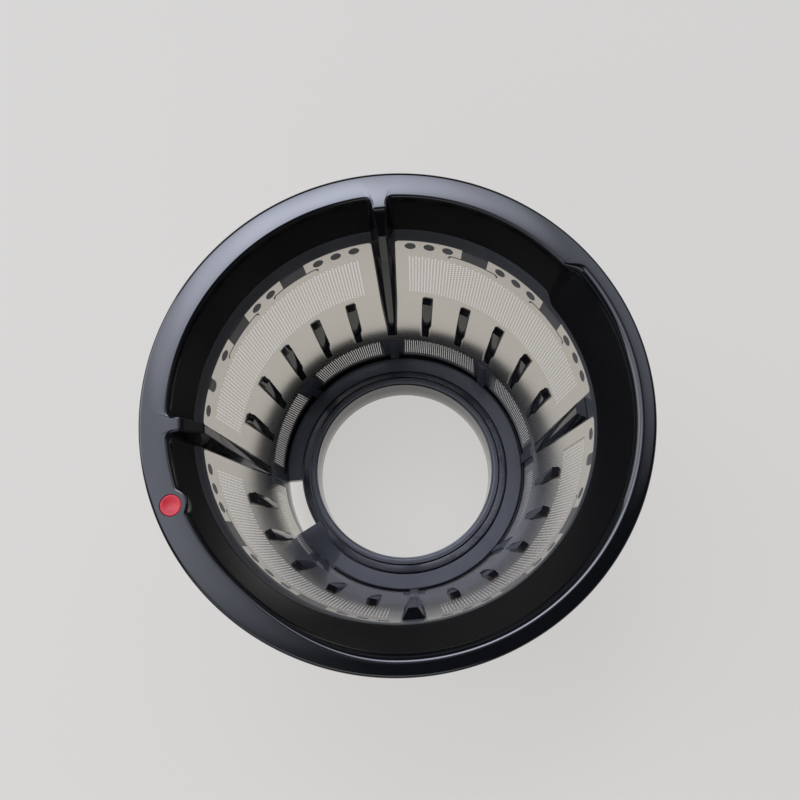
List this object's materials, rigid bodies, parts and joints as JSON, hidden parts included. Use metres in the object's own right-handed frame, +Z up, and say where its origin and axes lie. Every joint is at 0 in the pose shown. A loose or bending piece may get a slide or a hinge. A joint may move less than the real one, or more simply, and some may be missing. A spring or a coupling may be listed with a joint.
{
  "type": "juicer strainer basket",
  "caption": "Conical strainer basket for a slow juicer: a glossy black moulded frame with ribs and ridges inside, half-cone steel mesh sheets, an outlet spigot and a red index plug on the rim.",
  "frame": {"origin": "on the basket's axis, at the foot of the spigot that it stands on", "axes": "+Z up the axis to the wide rim, +X to a main rib in the cut-away sector, +Y to the next main rib, on the far side of the picture"},
  "size_m": [0.12, 0.12, 0.104],
  "materials": {
    "frame_plastic": "mirror-gloss black moulded plastic, satin where it is flush with the sheets",
    "sheet_steel": "plain cold-rolled stainless steel",
    "plug_plastic": "satin red plastic"
  },
  "bodies": {
    "root": {"frame": "frame_plastic", "screen_sheet_rear": "sheet_steel", "screen_sheet_front": "sheet_steel", "index_plug": "plug_plastic"}
  },
  "joints": []
}
